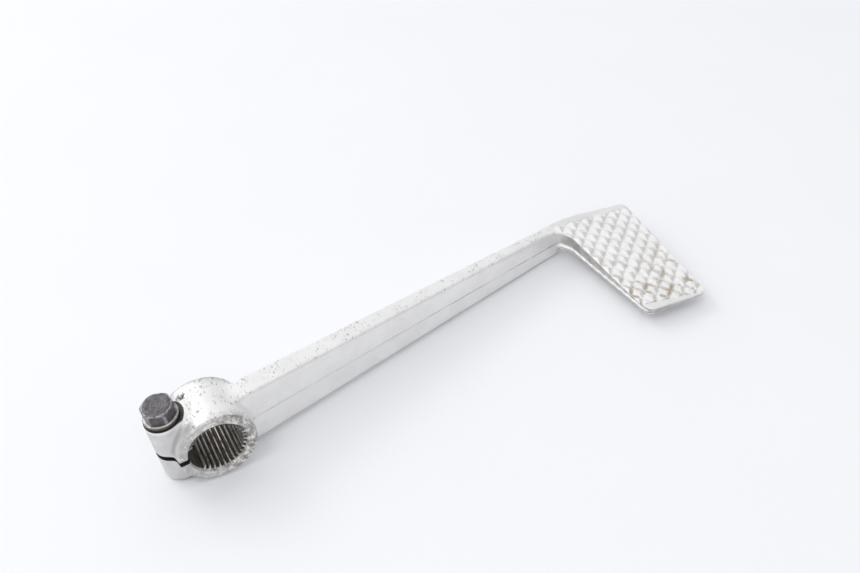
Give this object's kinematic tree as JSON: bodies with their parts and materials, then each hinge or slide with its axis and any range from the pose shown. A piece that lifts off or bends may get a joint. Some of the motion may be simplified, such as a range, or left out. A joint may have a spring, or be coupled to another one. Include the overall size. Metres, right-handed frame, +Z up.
{
  "type": "gear shift lever",
  "caption": "Cast lever with a split serrated clamp hub at one end, a tapered arm, and a treaded foot pad set square to it.",
  "frame": {"origin": "middle of the hub's bore, on its axis", "axes": "bore along Y with its open working face towards -Y; +X from the hub towards the foot pad; +Z up, as the lever lies on a bench"},
  "size_m": [0.2224, 0.06, 0.0333],
  "materials": {
    "cast_aluminium": "satin cast",
    "dark_steel": "worn dark zinc",
    "washer_steel": "dull"
  },
  "bodies": {
    "lever": {"lever": "cast_aluminium"},
    "washer": {"washer": "washer_steel"},
    "pinch_bolt": {"pinch_bolt": "dark_steel"}
  },
  "joints": [
    {"name": "bolt_travel", "type": "slide", "parent": "lever", "child": "washer", "axis": [-0.1253, 0, 0.9921], "range_m": [0, 0.008]},
    {"name": "bolt_turn", "type": "hinge", "parent": "washer", "child": "pinch_bolt", "pos_m": [-0.0124, 0, -0.00157], "axis": [-0.1253, 0, 0.9921], "range_deg": [0, 2881]}
  ],
  "couplings": [
    {"joint": "bolt_turn", "follows": "bolt_travel", "rad_per_m": 6283.2}
  ]
}
